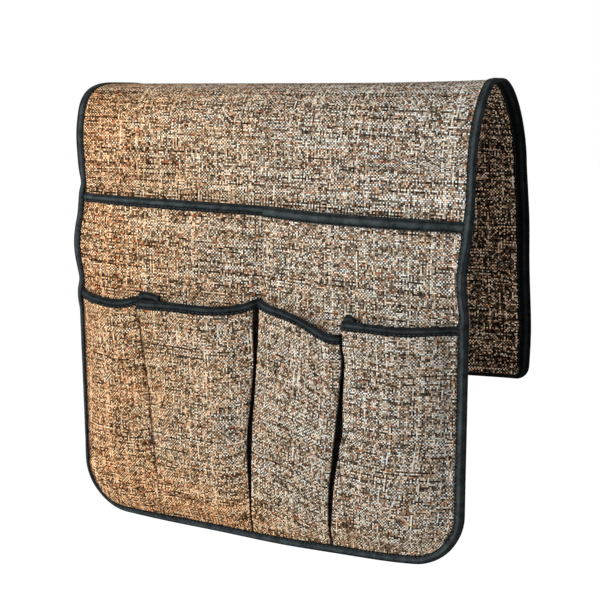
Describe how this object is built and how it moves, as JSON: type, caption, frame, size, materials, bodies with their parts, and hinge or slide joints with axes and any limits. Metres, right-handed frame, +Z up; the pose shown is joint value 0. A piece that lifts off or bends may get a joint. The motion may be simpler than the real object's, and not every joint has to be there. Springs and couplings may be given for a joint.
{
  "type": "sofa armrest organizer",
  "caption": "Sheet of woven cloth that hangs over a sofa armrest, with a plain upper row and a pleated lower row of bound pockets.",
  "frame": {"origin": "middle of the flat underside of the crest, where the cloth lies on the armrest", "axes": "+Z up, +X along the armrest, -Y out of the side that carries the pockets"},
  "size_m": [0.4039, 0.2167, 0.4307],
  "materials": {
    "linen": "heavy slubby weave of tan, cream, grey and dark brown yarns",
    "linen_reverse": "the same weave seen from behind, without lining",
    "tape": "smooth charcoal tape, folded and sewn"
  },
  "bodies": {
    "crest": {"crest_panel": "linen", "crest_binding_left": "tape", "crest_binding_right": "tape"},
    "front_leaf": {"front_panel": "linen", "front_binding_left": "tape", "front_binding_left_corner": "tape", "front_binding_hem": "tape", "front_binding_right_corner": "tape", "front_binding_right": "tape", "upper_pocket_left": "linen", "upper_tape_left": "tape", "upper_pocket_right": "linen", "upper_tape_right": "tape", "lower_pocket_1": "linen", "lower_tape_1": "tape", "lower_pocket_2": "linen", "lower_tape_2": "tape", "lower_pocket_2_pleat": "linen", "lower_tape_2_pleat": "tape", "lower_pocket_3": "linen", "lower_tape_3": "tape", "lower_pocket_4": "linen", "lower_tape_4": "tape", "lower_pocket_4_pleat": "linen", "lower_tape_4_pleat": "tape"},
    "back_leaf": {"back_panel": "linen_reverse", "back_binding_left": "tape", "back_binding_hem": "tape", "back_binding_right": "tape"}
  },
  "joints": [
    {"name": "front_leaf_swing", "type": "hinge", "parent": "crest", "child": "front_leaf", "pos_m": [0, -0.07, -0.075], "axis": [-1, 0, 0], "range_deg": [-8, 90]},
    {"name": "back_leaf_swing", "type": "hinge", "parent": "crest", "child": "back_leaf", "pos_m": [0, 0.085, -0.075], "axis": [1, 0, 0], "range_deg": [-10, 90]}
  ]
}
